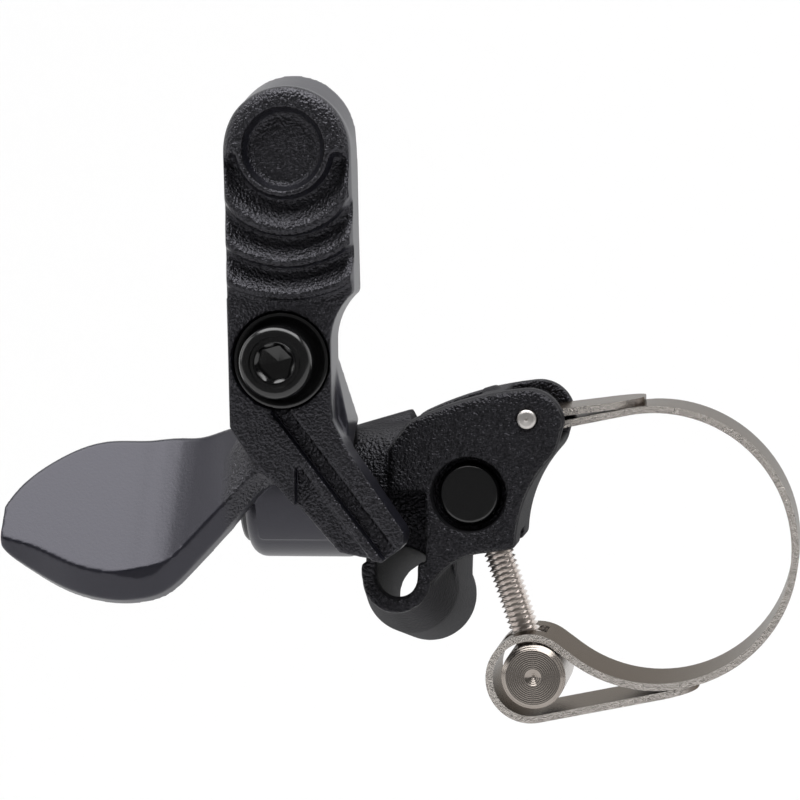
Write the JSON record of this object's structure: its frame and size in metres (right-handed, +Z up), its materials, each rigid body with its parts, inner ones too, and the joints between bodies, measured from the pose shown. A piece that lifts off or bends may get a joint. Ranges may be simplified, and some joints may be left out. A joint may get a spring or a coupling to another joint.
{
  "type": "dropper post remote lever",
  "caption": "Remote lever for a bicycle dropper post: upright and side thumb pads on a ball bearing pivot, cast body with housing stop, hinged stainless handlebar band",
  "frame": {"origin": "centre of the handlebar that the clamp band goes round, at mid width of the band", "axes": "+Z up; +Y along the handlebar, away from the rider's thumb; +X from the lever towards the handlebar"},
  "size_m": [0.065, 0.0239, 0.0533],
  "materials": {
    "body_cast": "black anodised cast aluminium, fine grain",
    "lever_forged": "black anodised forged aluminium, fine grain",
    "band_stainless": "bright rolled stainless strip with worked edges",
    "turned_stainless": "turned stainless steel",
    "black_oxide_steel": "gloss black oxide steel",
    "hub_cap_black": "smooth black anodised aluminium",
    "axle_steel": "ground steel",
    "bearing_steel": "polished bearing steel",
    "bearing_cage": "pressed steel cage",
    "bearing_shield": "black rubber faced seal",
    "spacer_alloy": "turned aluminium",
    "thrust_polymer": "natural acetal"
  },
  "bodies": {
    "body": {"clamp_body": "body_cast", "band_hinge_pin": "turned_stainless", "pivot_axle": "axle_steel", "axle_end_screw": "black_oxide_steel", "bearing_spacer": "spacer_alloy", "thrust_washer": "thrust_polymer", "body_bearing_inner_race": "bearing_steel", "cap_bearing_inner_race": "bearing_steel"},
    "lever": {"lever": "lever_forged", "cable_pinch_washer": "black_oxide_steel", "cable_pinch_bolt": "black_oxide_steel", "hub_end_cap": "hub_cap_black", "body_bearing_outer_race": "bearing_steel", "cap_bearing_outer_race": "bearing_steel", "body_bearing_shields": "bearing_shield", "cap_bearing_shields": "bearing_shield"},
    "body_ball_ring": {"body_bearing_cage": "bearing_cage", "body_bearing_balls": "bearing_steel"},
    "cap_ball_ring": {"cap_bearing_cage": "bearing_cage", "cap_bearing_balls": "bearing_steel"},
    "band": {"clamp_band": "band_stainless"},
    "trunnion": {"screw_trunnion": "black_oxide_steel"},
    "screw": {"clamp_screw": "turned_stainless"},
    "nut": {"barrel_nut": "turned_stainless"}
  },
  "joints": [
    {"name": "lever_pivot", "type": "hinge", "parent": "body", "child": "lever", "pos_m": [-0.0252, 0, 0.00445], "axis": [-1, 0, 0], "range_deg": [0, 26]},
    {"name": "body_balls_roll", "type": "hinge", "parent": "body", "child": "body_ball_ring", "pos_m": [-0.0252, 0, 0.00445], "axis": [-1, 0, 0], "range_deg": [0, 16]},
    {"name": "cap_balls_roll", "type": "hinge", "parent": "body", "child": "cap_ball_ring", "pos_m": [-0.0252, 0, 0.00445], "axis": [-1, 0, 0], "range_deg": [0, 16]},
    {"name": "band_hinge", "type": "hinge", "parent": "body", "child": "band", "pos_m": [-0.01016, 0, 0.01077], "axis": [0, -1, 0], "range_deg": [0, 8]},
    {"name": "trunnion_swivel", "type": "hinge", "parent": "body", "child": "trunnion", "pos_m": [-0.01497, 0, 0.00458], "axis": [0, -1, 0], "range_deg": [0, 10]},
    {"name": "nut_swivel", "type": "hinge", "parent": "band", "child": "nut", "pos_m": [-0.00996, 0, -0.01059], "axis": [0, -1, 0], "range_deg": [0, 2]},
    {"name": "screw_turn", "type": "hinge", "parent": "trunnion", "child": "screw", "pos_m": [-0.01497, 0, 0.00458], "axis": [-0.3136, 0, 0.9496], "range_deg": [0, 770]}
  ],
  "couplings": [
    {"joint": "body_balls_roll", "follows": "lever_pivot", "ratio": 0.5857},
    {"joint": "cap_balls_roll", "follows": "lever_pivot", "ratio": 0.5857},
    {"joint": "trunnion_swivel", "follows": "band_hinge", "ratio": 1.237},
    {"joint": "nut_swivel", "follows": "band_hinge", "ratio": 0.237},
    {"joint": "screw_turn", "follows": "band_hinge", "ratio": 95.7}
  ]
}
